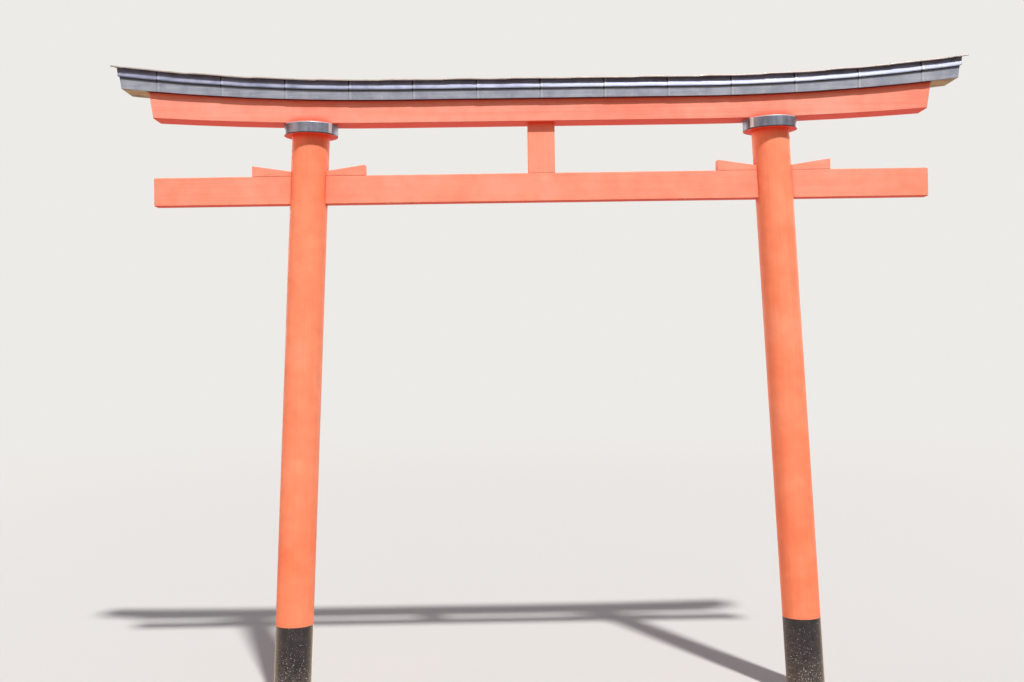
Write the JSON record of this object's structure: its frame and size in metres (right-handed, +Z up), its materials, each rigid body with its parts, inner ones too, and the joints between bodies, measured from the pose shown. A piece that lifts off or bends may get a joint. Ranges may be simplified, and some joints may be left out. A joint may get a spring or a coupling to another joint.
{
  "type": "torii gate",
  "caption": "Vermilion timber torii gate with leaning round posts, a wedged tie beam and an upswept lintel under dark sheet metal roofing, to mark the way into a shrine.",
  "frame": {"origin": "centre of the left post's foot, on the ground", "axes": "+X along the gate from the left post to the right one, +Y towards the back, +Z up"},
  "size_m": [3.43, 0.216, 2.5639],
  "materials": {
    "vermilion_timber": "planed timber under satin vermilion paint",
    "bare_timber": "planed, unpainted",
    "black_band": "matt black, dusty near the ground",
    "dark_sheet": "satin dark grey coated sheet"
  },
  "bodies": {
    "root": {"post_left": "vermilion_timber", "post_right": "vermilion_timber", "ring_left": "vermilion_timber", "ring_right": "vermilion_timber", "tie_beam": "vermilion_timber", "wedge_left_outer": "vermilion_timber", "wedge_left_inner": "vermilion_timber", "wedge_right_inner": "vermilion_timber", "wedge_right_outer": "vermilion_timber", "center_strut": "vermilion_timber", "lower_lintel": "vermilion_timber", "upper_lintel": "bare_timber", "foot_band_left": "black_band", "foot_band_right": "black_band", "ring_hoop_left": "dark_sheet", "ring_hoop_right": "dark_sheet", "fascia_front": "dark_sheet", "fascia_back": "dark_sheet", "ridge_cap": "dark_sheet", "end_cap_left": "dark_sheet", "end_cap_right": "dark_sheet", "roof_sheet_01": "dark_sheet", "roof_sheet_02": "dark_sheet", "roof_sheet_03": "dark_sheet", "roof_sheet_04": "dark_sheet", "roof_sheet_05": "dark_sheet", "roof_sheet_06": "dark_sheet", "roof_sheet_07": "dark_sheet", "roof_sheet_08": "dark_sheet", "roof_sheet_09": "dark_sheet", "roof_sheet_10": "dark_sheet", "roof_sheet_11": "dark_sheet", "roof_sheet_12": "dark_sheet", "roof_sheet_13": "dark_sheet", "roof_sheet_14": "dark_sheet"}
  },
  "joints": []
}
